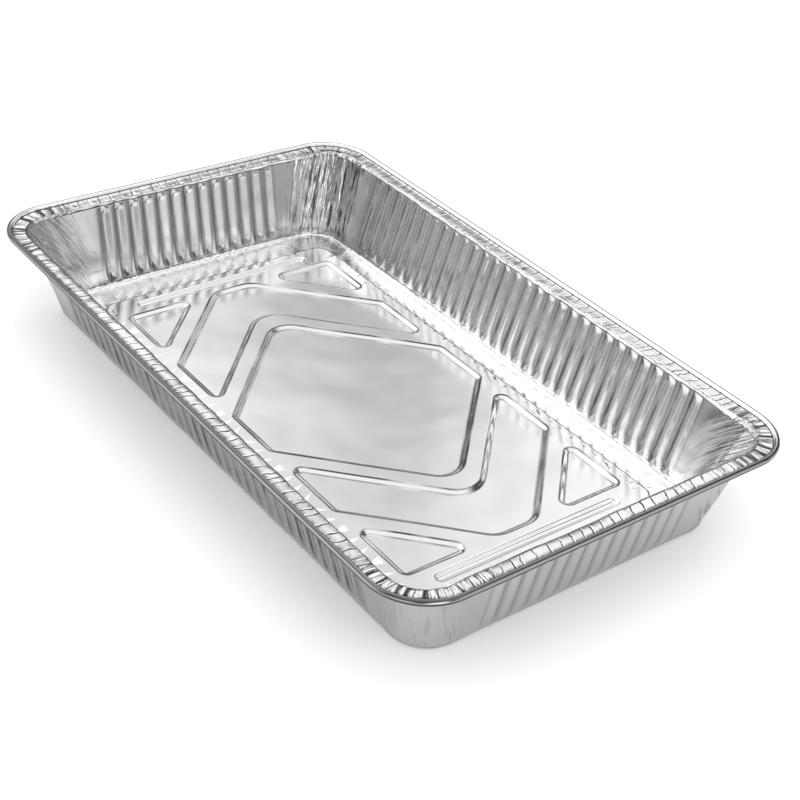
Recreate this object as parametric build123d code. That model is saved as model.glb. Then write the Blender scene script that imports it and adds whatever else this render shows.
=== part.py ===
"""Full-size aluminium foil tray, pressed from one sheet.

The sheet runs from a raised, embossed floor, down a shallow gutter to the foot that the
tray stands on, up a tapered and fluted wall, over a rounded lip to a flat flange, and
ends in an open curl rolled round the edge. Sizes are in millimetres. The origin is at
the centre of the footprint, on the table, with X along the tray and Z up.
"""
from build123d import *
from math import cos, radians, sin, sqrt
import os

# Overall sizes, over the rolled edge
TRAY_LENGTH = 527.0
TRAY_WIDTH = 325.0
TRAY_HEIGHT = 70.0
EDGE_CORNER = 41.0       # corner radius of the rolled edge

FOIL = 0.12              # thickness of the sheet

# Rolled edge, flange and lip
EDGE_WIDTH = 16.0        # from the outside of the curl to the top of the wall
CURL_RADIUS = 2.2        # outside radius of the rolled edge
CURL_TURN = 330.0        # degrees of roll, which leaves the curl open underneath
CREASE_RADIUS = 0.8      # bend from the flange up into the curl
LIP_RADIUS = 2.5         # bend from the wall out to the flange

# Foot of the wall
END_LEAN = 12.0          # how far an end wall leans out, from the foot to the mouth
SIDE_LEAN = 17.5         # how far a side wall leans out
FOOT_CORNER = 27.0
FOOT_RADIUS = 4.0        # bend from the gutter up into the wall
FOOT_FLAT = 3.0          # width of the flat that stands on the table

# Flutes pressed outwards in the wall
FLUTE_PITCH = 12.5
FLUTE_DEPTH = 1.4
FLUTE_FADE = 7.0         # height over which a flute dies out at each end
PLAIN_END = 20.7         # plain wall between a corner and the first flute, at the foot
FLUTE_SHAPE = (0.1, 0.3, 0.6, 0.8)   # where a flute's four folds lie, as parts of the pitch

# Raised floor
GUTTER_END = 28.5        # width of the slope from the foot up to the floor, at the ends
GUTTER_SIDE = 19.0       # the same at the sides
FLOOR_CORNER = 12.0
FLOOR_HEIGHT = 6.8       # underside of the floor above the table

# Panels sunk in the floor
END_MARGIN = 23.0        # from the floor's ends to the corner panels
SIDE_MARGIN = 9.5        # from the floor's sides to the panels
PANEL_DEPTH = 2.4
PANEL_BEVEL = 3.6        # width of the slope round each panel
PANEL_CORNER = 6.0       # corner radius at the top of the slope
RIB_WIDTH = 12.0         # floor left between two panels, across the slanting edges
HEXAGON_FLAT = 48.0      # length of the middle panel's edges along the tray
CHEVRON_WIDTH = 42.0     # across the slanting arms
CHEVRON_END = 33.7       # length of the blunt point of a chevron, across the tray
NOSE_RADIUS = 20.0       # rounding of the panels' points on the centre line
END_BEAD_INSET = 15.5    # from the panels' sides to the bead's ends
END_BEAD_WIDTH = 8.0
END_BEAD_BEVEL = 2.4     # width of the slope round the bead
END_BEAD_CORNER = 3.8    # rounds the bead's ends
END_BEAD_GAP = 7.5       # from the corner panels to the bead

# Worked out from the sizes above
CURL_HEIGHT = TRAY_HEIGHT - CURL_RADIUS
WALL_TOP = CURL_HEIGHT - CREASE_RADIUS - LIP_RADIUS - FOIL / 2
MOUTH_LENGTH = TRAY_LENGTH - 2 * EDGE_WIDTH
MOUTH_WIDTH = TRAY_WIDTH - 2 * EDGE_WIDTH
MOUTH_CORNER = EDGE_CORNER - EDGE_WIDTH
FOOT_LENGTH = MOUTH_LENGTH - 2 * END_LEAN
FOOT_WIDTH = MOUTH_WIDTH - 2 * SIDE_LEAN
STAND = FOOT_RADIUS + FOOT_FLAT          # from the foot's outline in to the gutter's slope
FLOOR_LENGTH = FOOT_LENGTH - 2 * (STAND + GUTTER_END)
FLOOR_WIDTH = FOOT_WIDTH - 2 * (STAND + GUTTER_SIDE)
PANEL_END = FLOOR_LENGTH / 2 - END_MARGIN
PANEL_SIDE = FLOOR_WIDTH / 2 - SIDE_MARGIN


def bent(points, radii):
    """Closed face through the points, each corner rounded by its radius."""
    return make_face(FilletPolyline(*points, radius=radii, close=True))


def inset(points, radii, distance):
    """Outline moved inwards by the distance, with the corner radii that keep it parallel."""
    moved = []
    moved_radii = []
    count = len(points)
    for i in range(count):
        corner = Vector(*points[i])
        along_in = (corner - Vector(*points[i - 1])).normalized()
        along_out = (Vector(*points[(i + 1) % count]) - corner).normalized()
        normal_in = Vector(-along_in.Y, along_in.X)
        normal_out = Vector(-along_out.Y, along_out.X)
        mitre = (normal_in + normal_out) * (distance / (1 + normal_in.dot(normal_out)))
        turn_side = 1 if along_in.cross(along_out).Z > 0 else -1
        moved.append((corner.X + mitre.X, corner.Y + mitre.Y))
        moved_radii.append(radii[i] - turn_side * distance)
    return moved, moved_radii


def flute_points(run, foot_side, depth):
    """Points along one side, from one corner arc to the next, with its flutes."""
    count = int((foot_side - 2 * FOOT_CORNER - 2 * PLAIN_END) / FLUTE_PITCH)
    points = [(-run / 2, 0.0)]
    for i in range(count):
        start = (i - count / 2) * FLUTE_PITCH
        rise = [0.0, depth, depth, 0.0]
        for part, height in zip(FLUTE_SHAPE, rise):
            points.append((start + part * FLUTE_PITCH, height))
    points.append((run / 2, 0.0))
    return points


def ring(length, width, corner, height, depth=0.0):
    """Horizontal face with rounded corners, fluted along its straight sides."""
    edges = []
    sides = [(width, length, FOOT_WIDTH), (length, width, FOOT_LENGTH)] * 2
    for quarter, (run, across, foot_side) in enumerate(sides):
        turn = Rotation(0, 0, 90 * quarter)
        points = []
        for along, out in flute_points(run - 2 * corner, foot_side, depth):
            points.append((across / 2 + out, along))
        side = turn * Polyline(*points)
        centre = (across / 2 - corner, run / 2 - corner)
        arc = turn * CenterArc(centre, corner, 0, 90)
        edges += side.edges() + arc.edges()
    return Pos(0, 0, height) * Face(Wire(edges))


def wall_ring(height, skin, depth):
    """Section of the wall at a height, with the sheet's lower or upper skin."""
    part = (height - FOOT_RADIUS) / (WALL_TOP - FOOT_RADIUS)
    length = FOOT_LENGTH + part * (MOUTH_LENGTH - FOOT_LENGTH) - 2 * skin
    width = FOOT_WIDTH + part * (MOUTH_WIDTH - FOOT_WIDTH) - 2 * skin
    corner = FOOT_CORNER + part * (MOUTH_CORNER - FOOT_CORNER) - skin
    return ring(length, width, corner, height, depth)


def foot_ring(angle, skin):
    """Section of the bend at the foot, at an angle up from its lowest line."""
    out = (FOOT_RADIUS - skin) * sin(radians(angle)) - FOOT_RADIUS
    height = FOOT_RADIUS - (FOOT_RADIUS - skin) * cos(radians(angle))
    return ring(FOOT_LENGTH + 2 * out, FOOT_WIDTH + 2 * out, FOOT_CORNER + out, height)


def basin(skin):
    """Everything inside one skin of the sheet, up to the top of the wall."""
    rings = [foot_ring(0, skin), foot_ring(45, skin)]
    rings.append(wall_ring(FOOT_RADIUS, skin, 0.0))
    rings.append(wall_ring(FOOT_RADIUS + FLUTE_FADE, skin, FLUTE_DEPTH))
    rings.append(wall_ring(WALL_TOP - FLUTE_FADE, skin, FLUTE_DEPTH))
    rings.append(wall_ring(WALL_TOP, skin, 0.0))
    body = loft(rings, ruled=True) - floor_rise(skin)
    for corners, radii, bevel in panels():
        body += sunk_panel(corners, radii, bevel, skin)
    return body


def floor_rise(skin):
    """Space under the raised floor, bounded by the gutter's inner slope."""
    low = RectangleRounded(FOOT_LENGTH - 2 * STAND, FOOT_WIDTH - 2 * STAND, FOOT_CORNER - STAND)
    high = RectangleRounded(FLOOR_LENGTH, FLOOR_WIDTH, FLOOR_CORNER)
    return loft([Pos(0, 0, skin) * low, Pos(0, 0, FLOOR_HEIGHT + skin) * high], ruled=True)


def sunk_panel(corners, radii, bevel, skin):
    """Solid under one panel: from the floor down to the panel, with sloping sides."""
    slope = bevel / PANEL_DEPTH
    side = skin * (sqrt(1 + slope**2) - slope)
    top = Pos(0, 0, FLOOR_HEIGHT + skin) * bent(*inset(corners, radii, side))
    low = Pos(0, 0, FLOOR_HEIGHT + skin - PANEL_DEPTH) * bent(*inset(corners, radii, side + bevel))
    return loft([top, low], ruled=True)


def slant_run():
    """Advance along the tray, for each millimetre across it, of all slanting edges."""
    reach = PANEL_END - HEXAGON_FLAT / 2
    drop = PANEL_SIDE - CHEVRON_END / 2
    band = RIB_WIDTH + CHEVRON_WIDTH
    root = sqrt(reach**2 + drop**2 - band**2)
    return (reach**2 - band**2) / (reach * drop + band * root)


def slant_points():
    """Where each slanting edge starts, on the panels' sides, and its run to the centre line."""
    run = slant_run()
    step = sqrt(1 + run**2)
    hexagon = HEXAGON_FLAT / 2
    inner = hexagon + RIB_WIDTH * step
    outer = inner + CHEVRON_WIDTH * step
    corner = outer + RIB_WIDTH * step
    return hexagon, inner, outer, corner, PANEL_SIDE * run


def hexagon_panel():
    """Outline and corner radii of the panel in the middle."""
    start, _, _, _, slant = slant_points()
    points = [
        (start + slant, 0), (start, PANEL_SIDE), (-start, PANEL_SIDE),
        (-start - slant, 0), (-start, -PANEL_SIDE), (start, -PANEL_SIDE),
    ]
    return points, [NOSE_RADIUS, PANEL_CORNER, PANEL_CORNER] * 2


def chevron_panel():
    """Outline and corner radii of the arrow-shaped panel at the +X end."""
    _, inner, outer, _, slant = slant_points()
    blunt = CHEVRON_END / 2
    points = [
        (inner + slant, 0), (inner, -PANEL_SIDE), (outer, -PANEL_SIDE), (PANEL_END, -blunt),
        (PANEL_END, blunt), (outer, PANEL_SIDE), (inner, PANEL_SIDE),
    ]
    small = [PANEL_CORNER, PANEL_CORNER]
    return points, [NOSE_RADIUS] + small + [NOSE_RADIUS, NOSE_RADIUS] + small


def corner_panel():
    """Outline and corner radii of the triangle at the +X, +Y corner."""
    _, _, _, start, slant = slant_points()
    near = PANEL_SIDE * (start + slant - PANEL_END) / slant
    points = [(PANEL_END, near), (PANEL_END, PANEL_SIDE), (start, PANEL_SIDE)]
    return points, [PANEL_CORNER] * 3


def end_bead():
    """Outline and corner radii of the narrow bead along the +X end."""
    start = PANEL_END + END_BEAD_GAP
    end = start + END_BEAD_WIDTH
    reach = PANEL_SIDE - END_BEAD_INSET
    return [(start, -reach), (end, -reach), (end, reach), (start, reach)], [END_BEAD_CORNER] * 4


def panels():
    """Outlines of all sunk panels, each with its corner radii and its bevel."""
    yield *hexagon_panel(), PANEL_BEVEL
    chevron, chevron_radii = chevron_panel()
    triangle, triangle_radii = corner_panel()
    bead, bead_radii = end_bead()
    for side in (1, -1):
        yield turned(chevron, side), chevron_radii, PANEL_BEVEL
        yield turned(triangle, side), triangle_radii, PANEL_BEVEL
        yield mirrored(turned(triangle, side)), triangle_radii, PANEL_BEVEL
        yield turned(bead, side), bead_radii, END_BEAD_BEVEL


def turned(points, side):
    """The outline as it is, or turned half round to the other end of the tray."""
    return [(side * x, side * y) for x, y in points]


def mirrored(points):
    """The outline on the other side of the tray, still anticlockwise."""
    return [(x, -y) for x, y in reversed(points)]


def edge_section():
    """Section through the lip, flange and rolled edge, standing in the XZ plane."""
    curl_middle = CURL_RADIUS - FOIL / 2
    curl_centre = (TRAY_LENGTH / 2 - CURL_RADIUS, CURL_HEIGHT)
    crease_centre = (curl_centre[0] - curl_middle - CREASE_RADIUS, CURL_HEIGHT)
    lip_centre = (MOUTH_LENGTH / 2 + LIP_RADIUS, WALL_TOP)
    skins = []
    for half in (-FOIL / 2, FOIL / 2):
        lip = CenterArc(lip_centre, LIP_RADIUS + FOIL / 2 + half, 180, -90)
        crease = CenterArc(crease_centre, CREASE_RADIUS - half, -90, 90)
        curl = CenterArc(curl_centre, curl_middle + half, 180, -CURL_TURN)
        flange = Line(lip @ 1, crease @ 0)
        skins.append([lip, flange, crease, curl])
    under, upper = skins
    ends = [Line(under[0] @ 0, upper[0] @ 0), Line(under[-1] @ 1, upper[-1] @ 1)]
    return Plane.XZ * make_face(under + upper + ends)


def edge_path():
    """Line round the tray at the top of the wall, from the middle of one end."""
    end = MOUTH_LENGTH / 2
    side = MOUTH_WIDTH / 2
    corners = [(end, 0), (end, side), (-end, side), (-end, -side), (end, -side)]
    return FilletPolyline(*corners, radius=[0] + [MOUTH_CORNER] * 4, close=True)


def foil_tray():
    """The whole tray, as one sheet."""
    sheet = basin(0.0) - basin(FOIL)
    edge = sweep(edge_section(), path=edge_path())
    return sheet + edge


os.makedirs("parts", exist_ok=True)
tray = foil_tray()
tray.label = "foil_tray"
export_step(tray, "parts/foil_tray.step")
box = tray.bounding_box()
print("foil_tray", len(tray.solids()), "solid", round(tray.volume), "mm3", box.size)
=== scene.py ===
# %% [markdown]
# # A full-size foil tray
# The real tray starts as one flat sheet of aluminium, a little thicker than kitchen foil. A
# press pushes it down between two dies, which leaves embossed panels in the floor, flutes in
# the walls and fine creases wherever the sheet had to shrink. Last, the edge is rolled over.
# This lesson builds that one sheet as one surface, and gives its creases partly as shape and
# partly as finish: small bumps, and painted shade along the folds. The imported part is loaded
# first, because its overall size comes from there.

# %% Load the frame
import bpy
import numpy as np
from mathutils import Matrix, Vector
from mathutils.geometry import delaunay_2d_cdt


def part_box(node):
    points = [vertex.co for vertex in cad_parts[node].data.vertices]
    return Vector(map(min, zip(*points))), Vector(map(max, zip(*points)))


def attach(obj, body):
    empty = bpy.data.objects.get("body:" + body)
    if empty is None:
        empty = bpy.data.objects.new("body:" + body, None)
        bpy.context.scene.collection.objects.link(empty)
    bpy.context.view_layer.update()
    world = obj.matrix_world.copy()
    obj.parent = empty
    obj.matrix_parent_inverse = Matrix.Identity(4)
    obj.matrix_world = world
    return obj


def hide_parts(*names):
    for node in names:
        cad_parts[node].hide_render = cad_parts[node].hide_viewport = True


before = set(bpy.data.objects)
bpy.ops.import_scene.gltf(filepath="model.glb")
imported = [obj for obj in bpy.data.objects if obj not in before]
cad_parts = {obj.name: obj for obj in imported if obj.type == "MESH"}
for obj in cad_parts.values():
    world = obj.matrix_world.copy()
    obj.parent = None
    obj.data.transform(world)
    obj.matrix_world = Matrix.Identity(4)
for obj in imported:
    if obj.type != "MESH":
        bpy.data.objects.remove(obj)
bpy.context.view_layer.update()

tray_low, tray_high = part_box("foil_tray")
tray_size = tray_high - tray_low
print("tray, metres:", tuple(round(v, 4) for v in tray_size))

# %% [markdown]
# ## The camera
# The tray is seen from above one corner, so that two walls show their insides and two their
# outsides. The camera is placed by the direction it looks from, then turned a little about
# its own axis, and slid sideways until the tray fills the square. It comes first, because
# every later choice is judged through it.

# %% Place the camera
LOOK_AZIMUTH = np.radians(50.09)
LOOK_ELEVATION = np.radians(33.88)
LOOK_ROLL = np.radians(5.57)
LOOK_DISTANCE = 1.1228
SLIDE_RIGHT = 0.0289
SLIDE_UP = 0.0024
LENS = 69.67


def camera_axes(azimuth, elevation, roll):
    """Right, up and forward of a camera: forward points down at the tray, and right and up
    are level with the floor before they turn by the roll."""
    flat = np.cos(elevation)
    forward = np.array([-np.sin(azimuth) * flat, np.cos(azimuth) * flat, -np.sin(elevation)])
    level = np.array([np.cos(azimuth), np.sin(azimuth), 0.0])
    upright = np.cross(level, forward)
    right = np.cos(roll) * level + np.sin(roll) * upright
    up = np.cos(roll) * upright - np.sin(roll) * level
    return right, up, forward


right, up, forward = camera_axes(LOOK_AZIMUTH, LOOK_ELEVATION, LOOK_ROLL)
camera = bpy.data.objects.new("camera", bpy.data.cameras.new("camera"))
camera.data.lens = LENS
place = SLIDE_RIGHT * right + SLIDE_UP * up - LOOK_DISTANCE * forward
camera.matrix_world = Matrix([
    [right[0], up[0], -forward[0], place[0]],
    [right[1], up[1], -forward[1], place[1]],
    [right[2], up[2], -forward[2], place[2]],
    [0, 0, 0, 1],
])
bpy.context.scene.collection.objects.link(camera)
bpy.context.scene.camera = camera
print("camera at", np.round(place, 3))

# %% [markdown]
# ## The sizes of the sheet
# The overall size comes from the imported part. The other sizes are the press tool's: how far
# each wall leans, how wide the flange is, how high the floor stands. They are the same values
# that the part was drawn with, in metres. Only the floor's rim is new: a narrow flat ring just
# inside the floor's edge, which keeps the gutter's shading from spreading over the floor.

# %% Name the sizes
FOIL = 0.00012
EDGE_WIDTH = 0.016
EDGE_CORNER = 0.041
CURL_RADIUS = 0.0022
CURL_TURN = np.radians(330)
CREASE_RADIUS = 0.0008
LIP_RADIUS = 0.0025
END_LEAN = 0.012
SIDE_LEAN = 0.0175
FOOT_CORNER = 0.027
FOOT_RADIUS = 0.004
FOOT_FLAT = 0.003
GUTTER_END = 0.0285
GUTTER_SIDE = 0.019
FLOOR_CORNER = 0.012
FLOOR_RIM = 0.0012
FLOOR_HEIGHT = 0.0068

curl_height = tray_high.z - CURL_RADIUS
wall_top = curl_height - CREASE_RADIUS - LIP_RADIUS - FOIL / 2
mouth = np.array([tray_size.x / 2 - EDGE_WIDTH, tray_size.y / 2 - EDGE_WIDTH])
mouth_corner = EDGE_CORNER - EDGE_WIDTH
foot = mouth - np.array([END_LEAN, SIDE_LEAN])
stand = foot - FOOT_RADIUS - FOOT_FLAT
floor_half = stand - np.array([GUTTER_END, GUTTER_SIDE])
print("half sizes of mouth, foot and floor:", mouth, foot, floor_half)

# %% [markdown]
# ## Columns round the tray
# The whole basin can be made from rings that follow a rectangle with round corners. Each ring
# has the same number of points, so the rings join up into a grid. The points are not evenly
# spread. A flute has eight columns, two at each of its folds, so that its edges stay crisp,
# and the corners have narrow columns because the foil is pleated there.

# %% Spread the columns
FLUTE_PITCH = 0.0125
PLAIN_END = 0.0207
FLUTE_COLUMNS = np.array([0.04, 0.12, 0.36, 0.44, 0.58, 0.66, 0.76, 0.84])
PLAIN_COLUMNS = 13
CORNER_COLUMNS = 58


def side_columns(half_foot):
    """Places along one straight side, from its middle, as they are at the foot, with the half
    length of the fluted stretch and of the whole side. Plain ends have even steps."""
    half_run = half_foot - FOOT_CORNER
    flutes = int((2 * half_run - 2 * PLAIN_END) / FLUTE_PITCH)
    half_fluted = flutes * FLUTE_PITCH / 2
    starts = np.arange(flutes)[:, None] * FLUTE_PITCH - half_fluted
    fluted = (starts + FLUTE_COLUMNS * FLUTE_PITCH).ravel()
    plain = np.linspace(half_fluted, half_run, PLAIN_COLUMNS + 1)
    return np.concatenate([-plain[::-1], fluted, plain]), half_fluted, half_run


def ring_columns():
    """Columns in order round the tray, anticlockwise from the +X side: which quarter each one
    is in, its place along a side, its angle in a corner, and the side's own half lengths."""
    sets = []
    for quarter in range(4):
        places, fluted, run = side_columns(foot[1] if quarter % 2 == 0 else foot[0])
        angle = np.linspace(0, np.pi / 2, CORNER_COLUMNS + 2)[1:-1]
        straight = np.ones_like(places)
        sets.append(np.array([quarter * straight, places, 0 * straight, fluted * straight,
                              run * straight, straight]))
        turn = np.ones_like(angle)
        sets.append(np.array([quarter * turn, run * turn, angle, fluted * turn, run * turn,
                              0 * turn]))
    return np.concatenate(sets, axis=1)


quarter, along, angle, half_fluted, half_run, straight = ring_columns()
COLUMNS = len(quarter)
print("columns:", COLUMNS)

# %% [markdown]
# ## Rings
# One function turns half sizes and a corner radius into a ring of points, or into many rings
# at once when it is given arrays. It can also push each point outwards by its own distance,
# which is how the flutes are pressed.

# %% Draw rings
def rings(half_length, half_width, corner, out=0.0):
    """Points of rings with the given sizes, as rows by columns by two. Fluted stretches keep
    their place along the side, and the plain ends stretch to meet the corner, which is an arc
    of the corner radius. 'out' moves each point outwards."""
    sizes = (half_length, half_width, corner)
    length, width, radius = (np.asarray(size, float)[:, None] for size in sizes)
    facing_x = quarter % 2 == 0
    reach = np.where(facing_x, length, width)
    run = np.where(facing_x, width, length) - radius
    plain = (np.abs(along) - half_fluted) / (half_run - half_fluted)
    stretched = np.sign(along) * (half_fluted + plain * (run - half_fluted))
    place = np.where(plain > 0, stretched, along)
    bend = np.where(straight > 0, 0.0, 1.0)
    local_x = reach - radius * bend * (1 - np.cos(angle)) + out * np.cos(angle)
    local_y = np.where(bend > 0, run + radius * np.sin(angle), place) + out * np.sin(angle)
    turn = quarter * np.pi / 2
    x = local_x * np.cos(turn) - local_y * np.sin(turn)
    y = local_x * np.sin(turn) + local_y * np.cos(turn)
    return np.stack([x, y], axis=-1)


# %% [markdown]
# ## The section of the sheet
# A cut through the wall shows one line: up the gutter's slope from the floor, round the foot,
# up the wall, over the lip, along the flange, and round the curl. It is written as a list of
# stations. Each has the half sizes of its ring, its corner radius and its height. Stations
# are close together in the bends and far apart on straight stretches.

# %% Make rows of stations
def stations(steps, start, end):
    """Rows between two rings, each ring being half length, half width, corner radius and
    height: start + (end - start) * step."""
    steps = np.asarray(steps, float)[:, None]
    return np.asarray(start) + (np.asarray(end) - np.asarray(start)) * steps


def bend_rows(angles, ring, radius, centre_out, centre_height):
    """Rows round a bend outside a ring: out = centre_out + radius sin(angle) and height =
    centre_height - radius cos(angle), where angle 0 is the lowest point."""
    angles = np.asarray(angles, float)
    out = centre_out + radius * np.sin(angles)
    height = centre_height - radius * np.cos(angles)
    return np.stack([ring[0] + out, ring[1] + out, ring[2] + out, height], axis=-1)


# %% [markdown]
# ## The lines of the press tool
# Seven rings fix the whole section: the floor's edge and rim, the line that the tray stands on,
# the foot and head of the wall, and the two edges of the flange. All of them are on the side
# that faces up, so each is a foil's thickness from the sizes of the part's underside.

# %% Name the lines
foot_ring = np.array([foot[0], foot[1], FOOT_CORNER])
mouth_ring = np.array([mouth[0], mouth[1], mouth_corner])
edge_ring = np.array([tray_size.x / 2, tray_size.y / 2, EDGE_CORNER])
inner_radius = FOOT_RADIUS - FOIL
curl_middle = CURL_RADIUS - FOIL / 2
flange_height = wall_top + LIP_RADIUS + FOIL
crease_out = -CURL_RADIUS - curl_middle - CREASE_RADIUS

floor_line = np.array([floor_half[0], floor_half[1], FLOOR_CORNER, FLOOR_HEIGHT + FOIL])
floor_rim = floor_line - FLOOR_RIM * np.array([1, 1, 1, 0])
stand_line = np.array([stand[0], stand[1], FOOT_CORNER - FOOT_RADIUS - FOOT_FLAT, FOIL])
wall_foot = np.append(foot_ring - FOIL, FOOT_RADIUS)
wall_head = np.append(mouth_ring - FOIL, wall_top)
flange_start = np.append(mouth_ring + LIP_RADIUS, flange_height)
flange_end = np.append(edge_ring + crease_out, flange_height)
print("flange height, mm:", round(1000 * flange_height, 2))

# %% [markdown]
# ## From the floor to the curl
# The seven stretches of the section are made one after another and stacked. The steps along
# a stretch are shares of its length. The first row of each stretch is kept by name, because
# the flutes, creases and folds are all placed by it.

# %% Stack the rows
GUTTER_STEPS = [0.0, 0.05, 0.3, 0.62, 0.95]
WALL_STEPS = [0.0, 0.035, 0.075, 0.12, 0.21, 0.32, 0.45, 0.58, 0.7, 0.81, 0.88, 0.93, 0.965, 1.0]
FLANGE_STEPS = [0.3, 0.65, 1.0]
CURL_ROWS = 10

FOOT_ANGLES = np.radians([0, 30, 60])
LIP_ANGLES = np.radians([35, 65])

gutter = np.concatenate([floor_rim[None], stations(GUTTER_STEPS, floor_line, stand_line)])
foot_bend = bend_rows(FOOT_ANGLES, foot_ring, inner_radius, -FOOT_RADIUS, FOOT_RADIUS)
wall = stations(WALL_STEPS, wall_foot, wall_head)
lip_out = LIP_RADIUS - (LIP_RADIUS + FOIL) * np.cos(LIP_ANGLES)
lip_height = wall_top + (LIP_RADIUS + FOIL) * np.sin(LIP_ANGLES)
lip = np.stack([*(size + lip_out for size in mouth_ring), lip_height], axis=-1)
flange = stations([0.0] + FLANGE_STEPS, flange_start, flange_end)
crease = bend_rows([np.pi / 4], edge_ring, CREASE_RADIUS - FOIL / 2, crease_out,
                   flange_height + CREASE_RADIUS - FOIL / 2)
roll = np.linspace(0, CURL_TURN, CURL_ROWS)
curl_skin = curl_middle + FOIL / 2
curl_sizes = [size - CURL_RADIUS - curl_skin * np.cos(roll) for size in edge_ring]
curl = np.stack([*curl_sizes, curl_height + curl_skin * np.sin(roll)], axis=-1)

stretches = [gutter, foot_bend, wall, lip, flange, crease, curl]
section = np.concatenate(stretches)
first_rows = np.cumsum([len(stretch) for stretch in stretches[:-1]])
GUTTER_END_ROW, WALL_ROW, LIP_ROW, FLANGE_ROW, CREASE_ROW, CURL_ROW = first_rows
ROWS = len(section)
print("rows:", ROWS, "grid quads:", ROWS * COLUMNS)

# %% [markdown]
# ## Flutes in the wall
# Flutes make a thin wall stiff. Each one is a shallow channel with four folds, pressed
# outwards, with a wide side and a narrow one, and it dies out just above the foot and just
# below the lip. Only the straight parts of the sides have them. A wave such as a sine would
# look soft and woven, so the flute is a trapezium instead. It is 0.4 mm deeper than in the
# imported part, which sets its bright and dark sides further apart.

# %% Press the flutes
FLUTE_DEPTH = 0.0018
FOOT_FADE = 0.008
LIP_FADE = 0.003
FLUTE_FOLDS = [0.08, 0.40, 0.62, 0.80]


def flutes(heights):
    """How far out each point of the wall is pressed: the depth, times a trapezium along the
    pitch, times a rise from 0 at the foot and at the lip to 1 over each fade. It goes by
    height alone, so the floor's edge, which is higher than the foot's bend, is pressed too."""
    phase = (along + half_fluted) / FLUTE_PITCH % 1
    shape = np.interp(phase, FLUTE_FOLDS, [0, 1, 1, 0])
    fluted = (straight > 0) & (np.abs(along) < half_fluted)
    rise = np.minimum((heights - FOOT_RADIUS) / FOOT_FADE, (wall_top - heights) / LIP_FADE)
    return FLUTE_DEPTH * np.clip(rise, 0, 1)[:, None] * (shape * fluted)


heights = section[:, 3]
ring_points = rings(section[:, 0], section[:, 1], section[:, 2], out=flutes(heights))
level = np.broadcast_to(heights[:, None, None], (ROWS, COLUMNS, 1))
grid = np.concatenate([ring_points, level], axis=-1)
print("grid spans, mm:", np.round(1000 * np.ptp(grid.reshape(-1, 3), axis=0), 1))

# %% [markdown]
# ## Coordinates on the sheet
# Creases follow the sheet and not the room, so two coordinates are needed that lie in it.
# One runs round the tray and one runs across the section. A third counts pleats: it runs
# faster in the corners, where the foil is gathered and the pleats crowd together. It needs
# to know what is a corner, so 'cornering' grows smoothly along each plain end, from 0 at the
# last flute to 1 at the arc.

# %% Measure along the sheet
PLEAT_STRAIGHT = 0.0088
PLEAT_CORNER = 0.0042

lip_line = grid[LIP_ROW]
steps = np.linalg.norm(np.roll(lip_line, -1, axis=0) - lip_line, axis=1)
around = np.concatenate([[0.0], np.cumsum(steps)[:-1]])
girth = steps.sum()
across = np.cumsum(np.linalg.norm(np.diff(grid[:, COLUMNS // 8], axis=0), axis=1))
across = np.concatenate([[-across[0]], across - across[0]])

plain_share = (np.abs(along) - half_fluted) / (half_run - half_fluted)
cornering = np.where(straight > 0, np.clip(plain_share, 0, 1), 1.0)
cornering = cornering**2 * (3 - 2 * cornering)
pleat_steps = steps * (1 / PLEAT_STRAIGHT + (1 / PLEAT_CORNER - 1 / PLEAT_STRAIGHT) * cornering)
PLEATS = int(round(pleat_steps.sum()))
pleat = np.concatenate([[0.0], np.cumsum(pleat_steps)[:-1]]) * PLEATS / pleat_steps.sum()
print("girth, m:", round(girth, 3), "pleats:", PLEATS)

# %% [markdown]
# ## Creases as shape
# Creases wider than a millimetre or two change the outline and catch the light from any side,
# so they are real shape. They are smooth noise, drawn out along the direction that the foil
# gathered in. The same noise function serves for each kind of crease. It repeats after one
# turn round the tray, so that no seam shows.

# %% Smooth noise on the sheet
NOISE_ROWS = 64


def noise(u, v, turn, seed):
    """Value noise from -1 to 1: random numbers at whole u and v, blended between them by
    3t^2 - 2t^3. It repeats when u has gone on by 'turn'."""
    table = np.random.default_rng(seed).uniform(-1, 1, (turn, NOISE_ROWS))
    u, v = np.broadcast_arrays(u, v)
    left, below = np.floor(u).astype(int), np.floor(v).astype(int)
    tu, tv = u - left, v - below
    tu, tv = tu * tu * (3 - 2 * tu), tv * tv * (3 - 2 * tv)
    left, right = left % turn, (left + 1) % turn
    below, above = below % NOISE_ROWS, (below + 1) % NOISE_ROWS
    low = table[left, below] * (1 - tu) + table[right, below] * tu
    high = table[left, above] * (1 - tu) + table[right, above] * tu
    return low * (1 - tv) + high * tv


def creases(wide, tall, seed, lean=0.0):
    """Noise over the grid with cells 'wide' round the tray and 'tall' across the section,
    sheared by 'lean' metres round for each metre across."""
    turn = int(round(girth / wide))
    u = (around[None, :] + lean * across[:, None]) / girth * turn
    return noise(u, across[:, None] / tall, turn, seed)


def pleats(per_pleat, tall, seed):
    """Noise that follows the pleat count, so that it is finer in the corners."""
    turn = int(PLEATS * per_pleat)
    return noise(pleat[None, :] / PLEATS * turn, across[:, None] / tall, turn, seed)


def band(start, end, soft):
    """1 on rows whose place across the sheet is between start and end, falling to 0 over
    'soft' metres on both sides."""
    inside = np.minimum(across - start, end - across) / soft
    return np.clip(inside + 1, 0, 1)[:, None]


# %% [markdown]
# ## Where the creases are
# The gutter is crushed all the way round. Corners are gathered from foot to lip, and the far
# one more than the others. The flange has short creases across it, and the walls have only a
# few soft dents. So each kind of crease is limited to a band of rows, to some corners, or to
# both.

# %% Mark the bands and corners
def corner_weight(number):
    """1 in one corner and on the plain wall beside it, 0 elsewhere."""
    before = (quarter == number) & ((straight == 0) | (along > 0))
    after = (quarter == (number + 1) % 4) & (straight > 0) & (along < 0)
    return cornering * (before | after)


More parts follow.
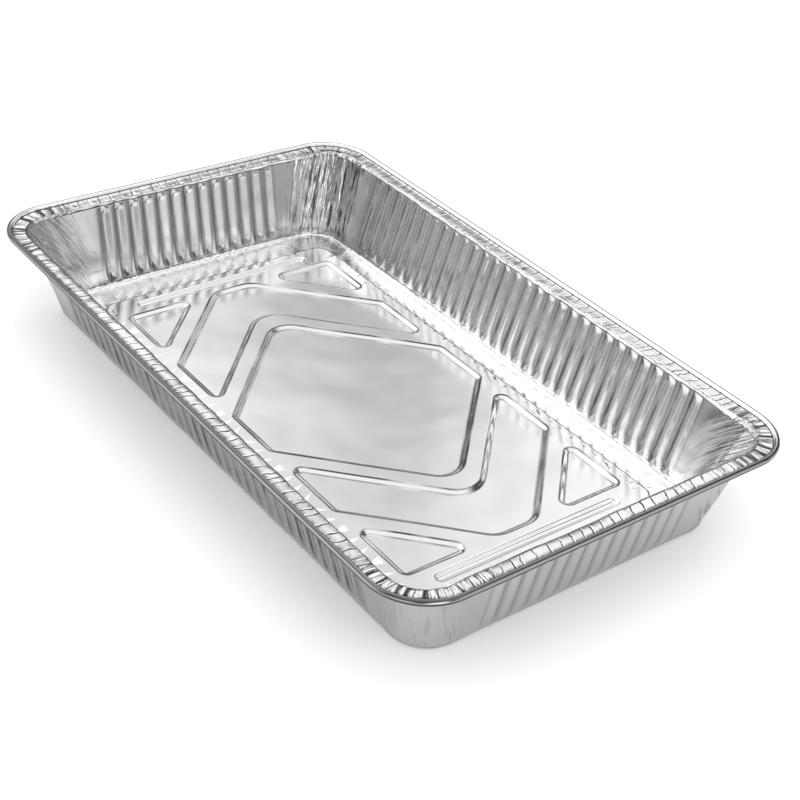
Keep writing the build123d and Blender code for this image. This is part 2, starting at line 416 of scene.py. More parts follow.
gutter_band = band(0.004, across[WALL_ROW] - 0.001, 0.004)
wall_band = band(across[WALL_ROW] + 0.002, across[LIP_ROW] - 0.001, 0.006)
flange_band = band(across[FLANGE_ROW], across[CREASE_ROW], 0.002)
far, left_corner, near, right_corner = (corner_weight(n) for n in (1, 2, 3, 0))
gutter_bow = np.sin(np.pi * np.clip(across / across[GUTTER_END_ROW], 0, 1))
print("crease bands, rows:", [int((b > 0).sum()) for b in (gutter_band, wall_band, flange_band)])

# %% [markdown]
# ## Pressing the creases in
# All creases are added up as one push along the sheet's own direction, in metres. Each line
# has a depth, the size of its cells round the tray and across it, a seed, and its band. In
# the right and left corners the metal was drawn in slantwise, so their creases lean.

# %% Add up the creases
RIGHT_LEAN = 0.85
LEFT_LEAN = -0.5
GUTTER_SAG = 0.0018

# soft dents in the walls, then small and broad dents in the gutter
push = 0.00025 * creases(0.045, 0.03, 11) * wall_band
push += 0.00012 * creases(0.005, 0.014, 12) * gutter_band
push += 0.00022 * creases(0.018, 0.012, 13) * gutter_band
# pleats of every corner, deep and fine ones of the far corner, and the other three
push += 0.0003 * pleats(1.3, 0.05, 14) * wall_band * cornering
push += 0.0011 * pleats(0.85, 0.045, 15) * wall_band * far
push += 0.0006 * creases(0.0038, 0.016, 21, lean=0.15) * wall_band * far
push += 0.0009 * creases(0.011, 0.030, 16, lean=RIGHT_LEAN) * wall_band * right_corner
push += 0.0005 * creases(0.007, 0.040, 19, lean=LEFT_LEAN) * wall_band * left_corner
push += 0.0004 * creases(0.006, 0.060, 23) * wall_band * near
# the flange, deeper in its corners, and slow waves along the curl
push += 0.00028 * pleats(1.0, 0.02, 17) * flange_band * cornering
push += 0.00006 * pleats(1.0, 0.02, 20) * flange_band
push += 0.00012 * creases(0.02, 0.05, 18) * band(across[CREASE_ROW], across[-1], 0.002)
# the gutter's slope sags in the corners, and the lip is wavy
push -= GUTTER_SAG * gutter_bow[:, None] * cornering
push += 0.0003 * creases(0.008, 0.05, 22) * band(across[LIP_ROW], across[FLANGE_ROW], 0.0015)
print("deepest crease, mm:", round(1000 * np.abs(push).max(), 2))

# %% [markdown]
# ## Moving the sheet
# The push goes along the sheet's normal, which is worked out from the grid itself: on a
# surface with two parameters, it is the cross product of a step along each of them.

# %% Push the grid
def grid_normals(points):
    """Unit vectors that point up or inwards from the grid: the cross product of the step
    across the section and the step round the tray."""
    round_step = np.roll(points, -1, axis=1) - np.roll(points, 1, axis=1)
    across_step = np.gradient(points, axis=0)
    normal = np.cross(across_step, round_step)
    return normal / np.linalg.norm(normal, axis=-1, keepdims=True)


grid = grid + grid_normals(grid) * push[..., None]
print("grid now spans, mm:", np.round(1000 * np.ptp(grid.reshape(-1, 3), axis=0), 1))

# %% [markdown]
# ## The panels in the floor
# The floor has six-sided, arrow-shaped and three-sided panels, which are 2.4 mm lower than
# the ribs between them, and a narrow bead at each end. All the slanting edges are at 45 degrees.
# Each outline is a few corners, with a round at each one.

# %% Draw the panel outlines
PANEL_DEPTH = 0.0024
PANEL_BEVEL = 0.0036
PANEL_CORNER = 0.006
RIB_WIDTH = 0.012
HEXAGON_FLAT = 0.048
CHEVRON_WIDTH = 0.042
NOSE_RADIUS = 0.020
END_MARGIN = 0.023
SIDE_MARGIN = 0.0095
BEAD_WIDTH = 0.008
BEAD_BEVEL = 0.0024
BEAD_CORNER = 0.0038
BEAD_GAP = 0.0075
BEAD_INSET = 0.0155

panel_end = floor_half[0] - END_MARGIN
panel_side = floor_half[1] - SIDE_MARGIN
hexagon_start = HEXAGON_FLAT / 2
inner_start = hexagon_start + RIB_WIDTH * np.sqrt(2)
outer_start = inner_start + CHEVRON_WIDTH * np.sqrt(2)
corner_start = outer_start + RIB_WIDTH * np.sqrt(2)
blunt = outer_start + panel_side - panel_end
bead_start = panel_end + BEAD_GAP
bead_reach = panel_side - BEAD_INSET
SMALL = [PANEL_CORNER]
NOSE = [NOSE_RADIUS]

hexagon = np.array([
    (hexagon_start + panel_side, 0), (hexagon_start, panel_side), (-hexagon_start, panel_side),
    (-hexagon_start - panel_side, 0), (-hexagon_start, -panel_side), (hexagon_start, -panel_side)])
chevron = np.array([
    (inner_start + panel_side, 0), (inner_start, -panel_side), (outer_start, -panel_side),
    (panel_end, -blunt), (panel_end, blunt), (outer_start, panel_side), (inner_start, panel_side)])
triangle = np.array([
    (panel_end, corner_start + panel_side - panel_end), (panel_end, panel_side),
    (corner_start, panel_side)])
bead = np.array([
    (bead_start, -bead_reach), (bead_start + BEAD_WIDTH, -bead_reach),
    (bead_start + BEAD_WIDTH, bead_reach), (bead_start, bead_reach)])
half_turn = np.array([-1, -1])
mirror = np.array([1, -1])

panels = [(hexagon, (NOSE + SMALL * 2) * 2, PANEL_BEVEL)]
for side in (np.array([1, 1]), half_turn):
    panels.append((chevron * side, NOSE + SMALL * 2 + NOSE * 2 + SMALL * 2, PANEL_BEVEL))
    panels.append((triangle * side, SMALL * 3, PANEL_BEVEL))
    panels.append(((triangle * side * mirror)[::-1], SMALL * 3, PANEL_BEVEL))
    panels.append((bead * side, [BEAD_CORNER] * 4, BEAD_BEVEL))
print("panels:", len(panels))

# %% [markdown]
# ## Bevels carried round the outlines
# A panel's slope is a short profile carried along its outline. The outline is worked out as
# points with a direction that points out of the panel, so that the same points, moved inwards
# step by step, give the whole slope. Rounded corners get more points than straight edges.
# Each slope has spare flat rings above and below it, so that its shading ends at its folds.

# %% Carry a bevel round an outline
STRAIGHT_STEP = 0.009
ARC_STEP = np.radians(9)
ARC_POINTS = 4
BEVEL_DROPS = np.array([0.0, 0.0, 0.1, 0.5, 0.9, 1.0, 1.0])
TOP_RINGS = [-0.0013, -0.0005, 0.0003]
BOTTOM_RINGS = np.array([-0.0003, 0.0005, 0.0012])


def rounded(corners, radii):
    """Points and outward directions of an anticlockwise outline with rounded corners. Each arc
    is tangent to both sides: it starts radius * tan(turn / 2) before the corner."""
    points, normals = [], []
    count = len(corners)
    for i in range(count):
        arriving = corners[i] - corners[i - 1]
        leaving = corners[(i + 1) % count] - corners[i]
        arriving, leaving = arriving / np.linalg.norm(arriving), leaving / np.linalg.norm(leaving)
        turn = np.arctan2(arriving[0] * leaving[1] - arriving[1] * leaving[0], arriving @ leaving)
        hand = np.sign(turn)
        inward = hand * np.array([-arriving[1], arriving[0]])
        start = corners[i] - arriving * radii[i] * np.tan(abs(turn) / 2)
        t = np.linspace(0, abs(turn), max(ARC_POINTS, int(abs(turn) / ARC_STEP)))[:, None]
        away = -inward * np.cos(t) + arriving * np.sin(t)
        arc = start + radii[i] * inward + radii[i] * away
        points.append(arc)
        normals.append(hand * away)
    line, facing = [], []
    for i in range(count):
        line.append(points[i])
        facing.append(normals[i])
        ahead = points[(i + 1) % count][0] - points[i][-1]
        steps = int(np.linalg.norm(ahead) / STRAIGHT_STEP)
        t = np.arange(1, steps)[:, None] / max(steps, 1)
        line.append(points[i][-1] + ahead * t)
        facing.append(np.broadcast_to(normals[i][-1], (len(t), 2)))
    return np.concatenate(line), np.concatenate(facing)


def bevel_rings(corners, radii, bevel):
    """Rings of points down one panel's slope, as rings by points by two, with the drop of
    each ring and its place on the slope, from 0 at the top fold to 1 at the bottom one."""
    line, facing = rounded(corners, radii)
    inward = np.concatenate([TOP_RINGS, [bevel / 2], bevel + BOTTOM_RINGS])
    rings_in = line[None] - facing[None] * inward[:, None, None]
    return rings_in, PANEL_DEPTH * BEVEL_DROPS, inward / bevel


slopes = [bevel_rings(*panel) for panel in panels]
print("points on slopes:", sum(ring.shape[0] * ring.shape[1] for ring, _, _ in slopes))

# %% [markdown]
# ## One skin for the floor
# The slopes are rings and the rest of the floor is flat, so the floor is filled with triangles
# between the rings. A triangulation that keeps given edges does this in one call: it gets the
# inner line of the gutter, the rings, and loose points in between, and it keeps every ring.

# %% Place the loose points
LOOSE_STEP = 0.0075


def segments_distance(points, line):
    """Shortest distance from each point to a closed line of straight segments."""
    start, step = line[None], (np.roll(line, -1, axis=0) - line)[None]
    t = ((points[:, None] - start) * step).sum(-1) / (step**2).sum(-1)
    nearest = start + np.clip(t, 0, 1)[..., None] * step
    return np.linalg.norm(points[:, None] - nearest, axis=-1).min(axis=1)


def enclosed(points, line):
    """True where a point is inside a closed line: a level ray from it crosses an odd number
    of segments."""
    x0, y0 = line.T
    x1, y1 = np.roll(line, -1, axis=0).T
    x, y = points[:, :1], points[:, 1:]
    spans = (y0 > y) != (y1 > y)
    crossing = x0 + (y - y0) * (x1 - x0) / np.where(y1 == y0, 1, y1 - y0)
    return (spans & (x < crossing)).sum(axis=1) % 2 == 1


def loose_points():
    """A staggered lattice over the floor, without the points near a slope or the gutter, and
    the drop of the panel that each one lies in."""
    x = np.arange(-floor_half[0], floor_half[0], LOOSE_STEP)
    y = np.arange(-floor_half[1], floor_half[1], LOOSE_STEP)
    lattice = np.stack(np.meshgrid(x, y, indexing="ij"), axis=-1)
    lattice[:, ::2, 0] += LOOSE_STEP / 2
    lattice = lattice.reshape(-1, 2)
    edge = grid[0, :, :2]
    keep = enclosed(lattice, edge) & (segments_distance(lattice, edge) > LOOSE_STEP / 2)
    drop = np.zeros(len(lattice))
    for ring, _, _ in slopes:
        keep &= segments_distance(lattice, ring[0]) > LOOSE_STEP / 3
        keep &= segments_distance(lattice, ring[-1]) > LOOSE_STEP / 3
        between = enclosed(lattice, ring[0]) & ~enclosed(lattice, ring[-1])
        keep &= ~between
        drop[enclosed(lattice, ring[-1])] = PANEL_DEPTH
    return lattice[keep], drop[keep]


# %% [markdown]
# ## Filling between the rings
# Each point gets its drop, and its place on its panel's slope, which the finish reads to paint
# shade along the folds. Points on flat metal get a place far from 0 and 1, and so do the beads,
# whose folds are too soft to be given painted shade.

# %% Fill the floor
RIB, PANEL = -4.0, 5.0
MERGE_DISTANCE = 1e-7


def loop_edges(first, count):
    """Pairs of neighbours in a closed loop of 'count' points that starts at 'first'."""
    here = np.arange(count)
    return np.stack([first + here, first + (here + 1) % count], axis=1)


flat, drop, slope = [grid[0, :, :2]], [np.zeros(COLUMNS)], [np.full(COLUMNS, RIB)]
edges = [loop_edges(0, COLUMNS)]
for (_, _, bevel), (ring, drops, places) in zip(panels, slopes):
    if bevel == BEAD_BEVEL:
        places = [RIB] * len(drops)
    for row, row_drop, place in zip(ring, drops, places):
        edges.append(loop_edges(sum(map(len, flat)), len(row)))
        flat.append(row)
        drop.append(np.full(len(row), row_drop))
        slope.append(np.full(len(row), place))
lattice, lattice_drop = loose_points()
flat = np.concatenate(flat + [lattice])
drop = np.concatenate(drop + [lattice_drop])
slope = np.concatenate(slope + [np.where(lattice_drop > 0, PANEL, RIB)])
edges = np.concatenate(edges)
filled = delaunay_2d_cdt([Vector(p) for p in flat], edges.tolist(), [], 0, MERGE_DISTANCE)
source = np.array([origin[0] for origin in filled[3]])
triangles = source[np.array(filled[2])]
print("floor points:", len(flat), "triangles:", len(triangles))
print("points that crossing edges added:", len(filled[0]) - len(flat))

# %% [markdown]
# ## The whole sheet
# The grid and the floor share the gutter's inner line, so they are put into one mesh and not
# joined later. The mesh is one skin. A Solidify modifier gives it the foil's thickness on its
# lower side, which also closes the sheet along its rolled edge.

# %% Join the sheet
FLOOR_WAVE = 0.00028


def floor_wave(x, y):
    """Height that a pressed floor is out of flat: the product of slow sines, plus a few
    slanting ones, as metal that has sprung back."""
    broad = np.sin(31 * x + 0.6) * np.sin(47 * y + 1.1)
    slanting = 0.6 * np.sin(58 * x + 41 * y + 2.0) + 0.4 * np.sin(73 * x - 66 * y)
    return FLOOR_WAVE * (broad + slanting) / 2


loose = np.column_stack([flat[COLUMNS:], FLOOR_HEIGHT + FOIL - drop[COLUMNS:]])
vertices = np.concatenate([grid.reshape(-1, 3), loose])
row_of = np.concatenate([np.repeat(np.arange(ROWS), COLUMNS), np.zeros(len(loose), int)])
on_floor = np.clip(1 - across[row_of] / across[GUTTER_END_ROW], 0, 1)
vertices[:, 2] += on_floor * floor_wave(vertices[:, 0], vertices[:, 1])
vertices[:, 2] = np.maximum(vertices[:, 2], FOIL)

row, column = np.meshgrid(np.arange(ROWS - 1), np.arange(COLUMNS), indexing="ij")
here, beside = row * COLUMNS + column, row * COLUMNS + (column + 1) % COLUMNS
quads = np.stack([here, here + COLUMNS, beside + COLUMNS, beside], axis=-1).reshape(-1, 4)
floor_faces = np.where(triangles < COLUMNS, triangles, triangles - COLUMNS + ROWS * COLUMNS)


def skin_mesh(name, points, quads, triangles):
    """A mesh from arrays of points, four-cornered faces and three-cornered faces."""
    mesh = bpy.data.meshes.new(name)
    corners = np.concatenate([quads.ravel(), triangles.ravel()])
    sizes = np.concatenate([np.full(len(quads), 4), np.full(len(triangles), 3)])
    mesh.vertices.add(len(points))
    mesh.vertices.foreach_set("co", points.astype(np.float32).ravel())
    mesh.loops.add(len(corners))
    mesh.loops.foreach_set("vertex_index", corners.astype(np.int32))
    mesh.polygons.add(len(sizes))
    mesh.polygons.foreach_set("loop_start", (np.cumsum(sizes) - sizes).astype(np.int32))
    mesh.update(calc_edges=True)
    mesh.validate()
    mesh.shade_smooth()
    return mesh


sheet_mesh = skin_mesh("foil_sheet", vertices, quads, floor_faces)
sheet = bpy.data.objects.new("foil_sheet", sheet_mesh)
bpy.context.scene.collection.objects.link(sheet)
thickness = sheet.modifiers.new("thickness", "SOLIDIFY")
thickness.thickness = FOIL
thickness.offset = -1
print("faces of one skin:", len(sheet_mesh.polygons), "all up:",
      round(sum(p.normal.z > 0 for p in sheet_mesh.polygons) / len(sheet_mesh.polygons), 2))

# %% [markdown]
# ## Handing the sheet's coordinates to the finish
# A material can't see rows and columns, so they are stored as two UV maps. One has the pleat
# count along U and the place across the sheet along V. The other has the distance round the
# tray and the flute count.

# %% Store the coordinates
def corner_map(mesh, name, u, v, turn):
    """A UV map from values at points. Faces that span the end of a turn get u past 'turn', so
    that the pattern isn't squeezed back to its start inside one face."""
    layer = mesh.uv_layers.new(name=name)
    index = np.zeros(len(mesh.loops), np.int32)
    mesh.loops.foreach_get("vertex_index", index)
    values = np.stack([u[index], v[index]], axis=1)
    last = slice(0, 4 * len(quads))
    face_u = values[last, 0].reshape(-1, 4)
    wraps = np.ptp(face_u, axis=1) > turn / 2
    face_u[wraps] = np.where(face_u[wraps] < turn / 2, face_u[wraps] + turn, face_u[wraps])
    values[last, 0] = face_u.ravel()
    layer.data.foreach_set("uv", values.astype(np.float32).ravel())


def with_floor(values, floor_value):
    """Values for every point of the mesh, from an array over the grid."""
    full = np.broadcast_to(values, (ROWS, COLUMNS)).ravel()
    return np.concatenate([full, np.full(len(loose), float(floor_value))])


FLOOR_ACROSS = -0.01
flute_count = np.where(straight > 0, (along + half_fluted) / FLUTE_PITCH, 0.0)
fluted_v = with_floor(flute_count[None, :], 0)
across_v = with_floor(across[:, None], FLOOR_ACROSS)
corner_map(sheet_mesh, "pleats", with_floor(pleat[None, :], 0), across_v, PLEATS)
corner_map(sheet_mesh, "flutes", with_floor(around[None, :], 0), fluted_v, girth)
print("maps:", [layer.name for layer in sheet_mesh.uv_layers])

# %% [markdown]
# ## Numbers at the points
# Seven more numbers say how crushed, gathered, crimped or wedged the foil is at each point,
# which way its creases lean, where the flutes are, and how far down a panel's slope it is.
# The far corner is gathered most, as in the shape, and the near one least.

# %% Store the numbers
def point_value(mesh, name, values):
    """A number at each point, for the finish to read by name."""
    attribute = mesh.attributes.new(name, "FLOAT", "POINT")
    attribute.data.foreach_set("value", values.astype(np.float32).ravel())


fluted = (straight > 0) & (np.abs(along) < half_fluted + 0.001)
sides = fluted * band(across[WALL_ROW] + 0.004, across[LIP_ROW] - 0.002, 0.004)
gathered = wall_band * cornering
weights = far + 0.5 * right_corner + 0.35 * left_corner + 0.2 * near
lean = RIGHT_LEAN * (right_corner > 0) + LEFT_LEAN * (left_corner > 0)
on_slope = np.concatenate([np.full(ROWS * COLUMNS, RIB), slope[COLUMNS:]])
point_value(sheet_mesh, "slope", on_slope)
point_value(sheet_mesh, "crushed", with_floor(gutter_band, 0))
point_value(sheet_mesh, "gathered", with_floor(gathered * weights, 0))
point_value(sheet_mesh, "lean", with_floor(lean, 0))
point_value(sheet_mesh, "crimped", with_floor(flange_band, 0))
point_value(sheet_mesh, "wedged", with_floor(flange_band * cornering, 0))
point_value(sheet_mesh, "fluted", with_floor(sides, 0))
print("numbers stored for", len(vertices), "points")

# %% [markdown]
# ## Steps of a finish
# A finish is a chain of small steps, each of them a node. A few helpers make one step each, so
# that the finish below reads as sums and products. Every helper takes plain numbers and the
# results of other steps alike.

# %% Make the helpers
def plug(tree, socket, value):
    """Link the socket when the value is another socket, or else set it."""
    if isinstance(value, bpy.types.NodeSocket):
        tree.links.new(value, socket)
    else:
        socket.default_value = value


def node(tree, kind, **settings):
    """A node with its sockets plugged by name, and its other settings set."""
    made = tree.nodes.new(kind)
    for name, value in settings.items():
        if name in made.inputs:
            plug(tree, made.inputs[name], value)
        else:
            setattr(made, name, value)
    return made


def arithmetic(tree, operation, first, second=0.0):
    """One arithmetic step on one or two values."""
    made = node(tree, "ShaderNodeMath", operation=operation)
    plug(tree, made.inputs[0], first)
    plug(tree, made.inputs[1], second)
    return made.outputs[0]


def combined(tree, operation, values):
    """One arithmetic step carried through all the values."""
    result = values[0]
    for value in values[1:]:
        result = arithmetic(tree, operation, result, value)
    return result


def total(tree, *values):
    """All values added up."""
    return combined(tree, "ADD", values)


def product(tree, *values):
    """All values multiplied."""
    return combined(tree, "MULTIPLY", values)


def remap(tree, value, low, high, new_low, new_high):
    """The value's range moved to a new range, and held at its ends."""
    made = tree.nodes.new("ShaderNodeMapRange")
    names = ("Value", "From Min", "From Max", "To Min", "To Max")
    for name, number in zip(names, (value, low, high, new_low, new_high)):
        plug(tree, made.inputs[name], number)
    return made.outputs["Result"]


# %% [markdown]
# ## Patterns of a finish
# The patterns are lines, noise and cells. They read the numbers and maps that the sheet
# carries, so a pattern stays on the metal that it belongs to.

# %% Make the patterns
LINE_CORE = 0.45


def line(tree, value, centre, half_width):
    """1 where the value is at the centre, falling to 0 at the half width from it. The inner
    part of the line, up to the core's share of the half width, is all 1."""
    away = arithmetic(tree, "ABSOLUTE", arithmetic(tree, "SUBTRACT", value, centre))
    return remap(tree, away, half_width * LINE_CORE, half_width, 1.0, 0.0)


def noise_value(tree, coordinates, scale, detail, roughness=0.5):
    """Smooth noise from 0 to 1, with 'scale' cells to one unit of the coordinates."""
    made = node(tree, "ShaderNodeTexNoise", Vector=coordinates, Scale=scale, Detail=detail,
                Roughness=roughness)
    return made.outputs["Fac"]


def drawn_noise(tree, along_u, across_v, per_u, per_v, detail):
    """Noise drawn out along one direction: per_u cells for each unit of u, per_v for v."""
    u, v = product(tree, along_u, per_u), product(tree, across_v, per_v)
    place = node(tree, "ShaderNodeCombineXYZ", X=u, Y=v)
    return noise_value(tree, place.outputs["Vector"], 1.0, detail)


def cells(tree, place, scale):
    """Distance from the nearest cell edge along one line, for creases at uneven steps."""
    made = node(tree, "ShaderNodeTexVoronoi", voronoi_dimensions="1D",
                feature="DISTANCE_TO_EDGE")
    plug(tree, made.inputs["W"], place)
    plug(tree, made.inputs["Scale"], scale)
    return made.outputs["Distance"]


def sheet_value(tree, name):
    """One of the numbers stored at the sheet's points."""
    return node(tree, "ShaderNodeAttribute", attribute_name=name).outputs["Fac"]


def map_axes(tree, name):
    """The two coordinates of a UV map."""
    source = node(tree, "ShaderNodeUVMap", uv_map=name)
    split = node(tree, "ShaderNodeSeparateXYZ", Vector=source.outputs["UV"])
    return split.outputs["X"], split.outputs["Y"]


# %% [markdown]
# ## Painted shade along the folds of the floor and edges
# A sharp fold in bright foil reflects the dark between things, so it looks like a thin dark
# line; here that dark is painted into the colour as painted shade. These lines run round each
# panel, and round the tray: along the floor's edge, the lip, the flange's crease and the side
# of the curl, with a wider painted shadow below the curl. The lip's line is ragged, as its
# metal is.

# %% Darken the long folds
PANEL_LINE = 0.26
LINE_WIDTH = 0.0007
LIP_LINE = across[FLANGE_ROW] - 0.0008
CREASE_LINE = across[CREASE_ROW] + 0.0004
# places of a painted dark line on the curl, and of a painted shadow below it
CURL_LINE = across[CURL_ROW] + 0.0043
CURL_SHADE = across[CURL_ROW] + 0.0073
RAGGED_REACH = 0.003


def panel_fold_shade(tree, uneven):
    """Painted shade at the top fold of each panel's slope, place 0, and the bottom one, place 1.
    """
    place = sheet_value(tree, "slope")
    top = product(tree, line(tree, place, 0.0, PANEL_LINE), uneven)
    bottom = product(tree, line(tree, place, 1.0, PANEL_LINE), uneven, 0.7)
    return [top, bottom]


def edge_fold_shade(tree, place, across_place, uneven):
    """Painted shade along each fold that runs round the tray, by its place across the sheet, with
    a wider painted shadow below the curl.
    """
    off_middle = arithmetic(tree, "SUBTRACT", noise_value(tree, place, 260, 2), 0.5)
    ragged = total(tree, across_place, product(tree, off_middle, RAGGED_REACH))
    return [
        product(tree, line(tree, across_place, 0.0, LINE_WIDTH), 0.85),
        product(tree, line(tree, ragged, LIP_LINE, LINE_WIDTH), uneven, 0.8),
        product(tree, line(tree, across_place, CREASE_LINE, LINE_WIDTH), 0.95),
        product(tree, line(tree, across_place, CURL_LINE, 2 * LINE_WIDTH), 0.92),
        product(tree, line(tree, across_place, CURL_SHADE, 2 * LINE_WIDTH), 0.95),
    ]


# %% [markdown]
# ## Painted shade in the folds of the flange, flutes and corners
# The flange is crimped across its width at uneven steps, and in its corners the spare metal is
# folded into wedges; both are darkened with painted shade. A flute has painted shade along the
# fold of its narrow side and a soft painted shade round it. A gathered corner has many fine
# creases from foot to lip, each darkened with painted shade.

# %% Darken the short folds
FLUTE_FOLD = 0.72
FLUTE_SHADE = 0.8


def flange_creases_and_shade(tree, place, pleat_place, across_place):
    """Painted shade in the creases and wedges on the flange, with the distance from the nearest
    crease and the noise of the wedges, which also give the flange its relief."""
    slant = product(tree, across_place, 30.0)
    jitter = product(tree, noise_value(tree, place, 120, 2), 0.5)
    crossing = cells(tree, total(tree, pleat_place, slant, jitter), 1.0)
    near_crease = remap(tree, crossing, 0.03, 0.07, 1.0, 0.0)
    sparse = remap(tree, noise_value(tree, place, 90, 2), 0.4, 0.6, 0.0, 1.0)
    crease = product(tree, near_crease, sheet_value(tree, "crimped"), sparse, 0.9)
    wedges = drawn_noise(tree, pleat_place, across_place, 1.0, 25.0, 2)
    in_wedge = remap(tree, wedges, 0.41, 0.46, 1.0, 0.0)
    wedge_shade = product(tree, in_wedge, sheet_value(tree, "wedged"), 0.9)
    return [crease, wedge_shade], crossing, wedges


def flute_fold_shade(tree, flute_place, uneven):
    """Painted shade on one side of each flute, and a soft painted shade round it. The shade's
    phase is moved so that its middle is 0.5, because a line can't reach over the end of a turn."""
    fluted = sheet_value(tree, "fluted")
    phase = arithmetic(tree, "FRACT", flute_place)
    fold_shade = product(tree, line(tree, phase, FLUTE_FOLD, 0.09), fluted, uneven, 0.8)
    moved = arithmetic(tree, "SUBTRACT", flute_place, FLUTE_SHADE - 0.5)
    moved_phase = arithmetic(tree, "FRACT", moved)
    shade = product(tree, line(tree, moved_phase, 0.5, 0.36), fluted, 0.28)
    return [fold_shade, shade]


def corner_creases_and_shade(tree, around_place, across_place):
    """Painted shade in the creases of the corners, drawn out along their lean, with their noise.
    """
    lean = product(tree, sheet_value(tree, "lean"), across_place)
    sheared = total(tree, around_place, lean)
    gathers = drawn_noise(tree, sheared, across_place, 300.0, 28.0, 2)
    in_crease = remap(tree, gathers, 0.38, 0.44, 1.0, 0.0)
    return [product(tree, in_crease, sheet_value(tree, "gathered"), 0.85)], gathers


# %% [markdown]
# ## The foil's finish
# Aluminium foil is bright and nearly mirror smooth, so its colour is mostly what it reflects.
# What makes it foil, and not chrome, is a satin blur and the small crinkles left by the press.
# The crinkles are heights in metres, added up as one bump. The darkest painted shade at each
# point decides how far its colour goes from bright foil to the painted dark of a fold.

# %% Make the foil
BRIGHT_FOIL = (0.91, 0.915, 0.925, 1)
# painted shade: the dark that folds, creases and flutes are coloured with
PAINTED_FOLD_SHADE = (0.06, 0.06, 0.065, 1)
SATIN_LOW, SATIN_HIGH = 0.11, 0.17


def crinkle_height(tree, place, crossing, gathers, wedges):
    """Height of the crinkles: slow waves everywhere, and crushing, gathering and crimping
    where the sheet's own numbers ask for them."""
    crimped = sheet_value(tree, "crimped")
    waves = product(tree, noise_value(tree, place, 22, 1), 0.0006)
    crinkle = noise_value(tree, place, 230, 3, 0.6)
    crushing = product(tree, crinkle, 0.0005, sheet_value(tree, "crushed"))
    gathering = product(tree, gathers, 0.0035, sheet_value(tree, "gathered"))
    crimping = product(tree, remap(tree, crossing, 0.0, 0.1, 0.0, 1.0), crimped, 0.00025)
    shallow = product(tree, wedges, crimped, 0.0006)
    deep = product(tree, wedges, sheet_value(tree, "wedged"), 0.0014)
    return total(tree, waves, crushing, gathering, crimping, total(tree, shallow, deep))


def foil_finish():
    """Bright rolled aluminium with crinkles, and painted shade along its sharp folds."""
    material = bpy.data.materials.new("pressed_foil")
    material.use_nodes = True
    tree = material.node_tree
    shader = tree.nodes["Principled BSDF"]
    shader.inputs["Metallic"].default_value = 1.0
    place = tree.nodes.new("ShaderNodeTexCoord").outputs["Object"]
    pleat_place, across_place = map_axes(tree, "pleats")
    around_place, flute_place = map_axes(tree, "flutes")
    uneven = remap(tree, noise_value(tree, place, 35, 2), 0.35, 0.6, 0.4, 1.0)

    flange_painted_shade, crossing, wedges = flange_creases_and_shade(tree, place, pleat_place, across_place)
    corner_painted_shade, gathers = corner_creases_and_shade(tree, around_place, across_place)
    painted_shades = panel_fold_shade(tree, uneven) + edge_fold_shade(tree, place, across_place, uneven)
    painted_shades += flange_painted_shade + flute_fold_shade(tree, flute_place, uneven) + corner_painted_shade
    # the colour goes from bright foil to painted shade by the darkest of these marks
    tone = node(tree, "ShaderNodeMix", data_type="RGBA")
    plug(tree, tone.inputs["Factor"], combined(tree, "MAXIMUM", painted_shades))
    tone.inputs[6].default_value = BRIGHT_FOIL
    tone.inputs[7].default_value = PAINTED_FOLD_SHADE
    tree.links.new(tone.outputs[2], shader.inputs["Base Color"])

    bump = tree.nodes.new("ShaderNodeBump")
    bump.inputs["Strength"].default_value = 1.0
    bump.inputs["Distance"].default_value = 1.0
    height = crinkle_height(tree, place, crossing, gathers, wedges)
    tree.links.new(height, bump.inputs["Height"])
    tree.links.new(bump.outputs["Normal"], shader.inputs["Normal"])
    satin = noise_value(tree, place, 60, 3)
    tree.links.new(remap(tree, satin, 0.3, 0.7, SATIN_LOW, SATIN_HIGH), shader.inputs["Roughness"])
    return material


sheet_mesh.materials.append(foil_finish())
print("steps in the finish:", len(bpy.data.materials["pressed_foil"].node_tree.nodes))

# %% [markdown]
# ## The table
# Foil shows the room, so the table matters twice: it is white to look at, and a middle grey
# where the foil reflects it. That grey is a painted reflection of shade: it darkens the outer
# walls as a shaded table beside the tray would. A switch on the kind of light ray gives each its
# own value.

# %% Set the table
TABLE_SPAN = 12.0
TABLE_WHITE = 0.95
# painted shade: the table's tone where the foil reflects it, darker than its white
TABLE_SHADE_IN_FOIL = 0.56


def reflection_only(tree, plain, reflected):
    """A colour socket that is 'plain' for light and camera, and 'reflected' in the foil."""
    mixed = node(tree, "ShaderNodeMix", data_type="RGBA")
    ray = tree.nodes.new("ShaderNodeLightPath").outputs["Is Glossy Ray"]
    plug(tree, mixed.inputs["Factor"], ray)
    for socket, value in ((mixed.inputs[6], plain), (mixed.inputs[7], reflected)):
        grey = value if isinstance(value, bpy.types.NodeSocket) else (value, value, value, 1)
        plug(tree, socket, grey)
    return mixed.outputs[2]


def table_top(white, reflected):
    """A plain pale floor at the height that the tray stands on, with a painted darker tone where
    the foil reflects it.
    """
    half = TABLE_SPAN / 2
    corners = [(-half, -half, 0), (half, -half, 0), (half, half, 0), (-half, half, 0)]
    mesh = bpy.data.meshes.new("table_top")
    mesh.from_pydata(corners, [], [(0, 1, 2, 3)])
    table = bpy.data.objects.new("table_top", mesh)
    bpy.context.scene.collection.objects.link(table)
    material = bpy.data.materials.new("white_table")
    material.use_nodes = True
    tree = material.node_tree
    shader = tree.nodes["Principled BSDF"]
    tree.links.new(reflection_only(tree, white, reflected), shader.inputs["Base Color"])
    shader.inputs["Roughness"].default_value = 0.9
    shader.inputs["Specular IOR Level"].default_value = 0.0
    mesh.materials.append(material)
    return table


table = table_top(TABLE_WHITE, TABLE_SHADE_IN_FOIL)
print("table, metres:", tuple(round(v, 1) for v in table.dimensions))

# %% [markdown]
# ## The light
# A studio for bright metal is a dark room with a few soft boxes, and each box is there for
# one face of the metal. The table would look patchy in that light, so it gets an even white
# one. The numbers of a box are its direction, how wide it is, how far its edge fades, all in
# degrees, and its strength.

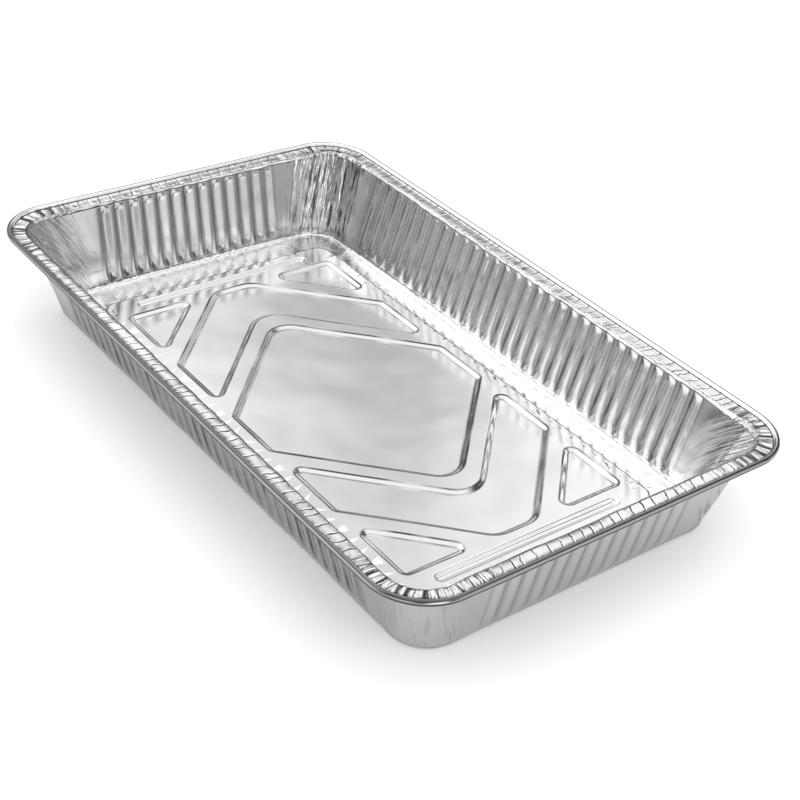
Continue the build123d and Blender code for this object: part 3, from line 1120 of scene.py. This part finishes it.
# %% Light the room
WHITE_ROOM = 1.42
DARK_ROOM = 0.06
SOFT_BOXES = [
    (170, 42, 12, 12, 0.76),   # left of the floor
    (117, 38, 13, 6, 0.5),     # right of the floor
    (140, 51, 19, 14, 0.47),   # middle of the floor, and the flange
    (225, 38, 20, 12, 1.3),    # long gutter and far slopes
    (0, 90, 28, 14, 0.9),      # everything level
    (-11, 11, 12, 7, 1.25),    # wide sides of the short wall's flutes
    (2, 42, 8, 6, 1.2),        # wide sides of the long wall's flutes, by two bounces
    (183, 20, 9, 7, 0.9),      # wide sides of the long wall's flutes
    (75, 22, 8, 7, 0.8),       # narrow sides of the flutes
    (41, 35, 12, 8, 1.1),      # short gutter
    (50, 9, 14, 10, 0.1),      # the tray from behind
    (-64, 18, 14, 10, 0.3),    # the tray from its side
]


def toward(azimuth, elevation):
    """Unit vector of a direction: azimuth in degrees anticlockwise from +X, and height."""
    a, e = np.radians(azimuth), np.radians(elevation)
    return (np.cos(e) * np.cos(a), np.cos(e) * np.sin(a), np.sin(e))


def soft_box(tree, direction, azimuth, elevation, spread, edge, strength):
    """A round patch of light in the room: full within 'spread' degrees of its centre, and
    gone 'edge' degrees further out."""
    dot = node(tree, "ShaderNodeVectorMath", operation="DOT_PRODUCT")
    plug(tree, dot.inputs[0], direction)
    plug(tree, dot.inputs[1], toward(azimuth, elevation))
    outer, inner = np.cos(np.radians(spread + edge)), np.cos(np.radians(spread))
    return remap(tree, dot.outputs["Value"], outer, inner, 0.0, strength)


def room(white, dark, boxes):
    """A world that lights the table evenly, and shows the foil a dark room with soft boxes."""
    world = bpy.data.worlds.new("room")
    bpy.context.scene.world = world
    world.use_nodes = True
    tree = world.node_tree
    direction = tree.nodes.new("ShaderNodeTexCoord").outputs["Generated"]
    light = total(tree, dark, *(soft_box(tree, direction, *box) for box in boxes))
    colour = reflection_only(tree, white, light)
    tree.links.new(colour, tree.nodes["Background"].inputs["Color"])


room(WHITE_ROOM, DARK_ROOM, SOFT_BOXES)
bpy.context.scene.view_settings.view_transform = "Standard"
print("soft boxes:", len(SOFT_BOXES))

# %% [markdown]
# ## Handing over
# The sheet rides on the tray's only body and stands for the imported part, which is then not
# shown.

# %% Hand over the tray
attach(sheet, "root")
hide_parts("foil_tray")
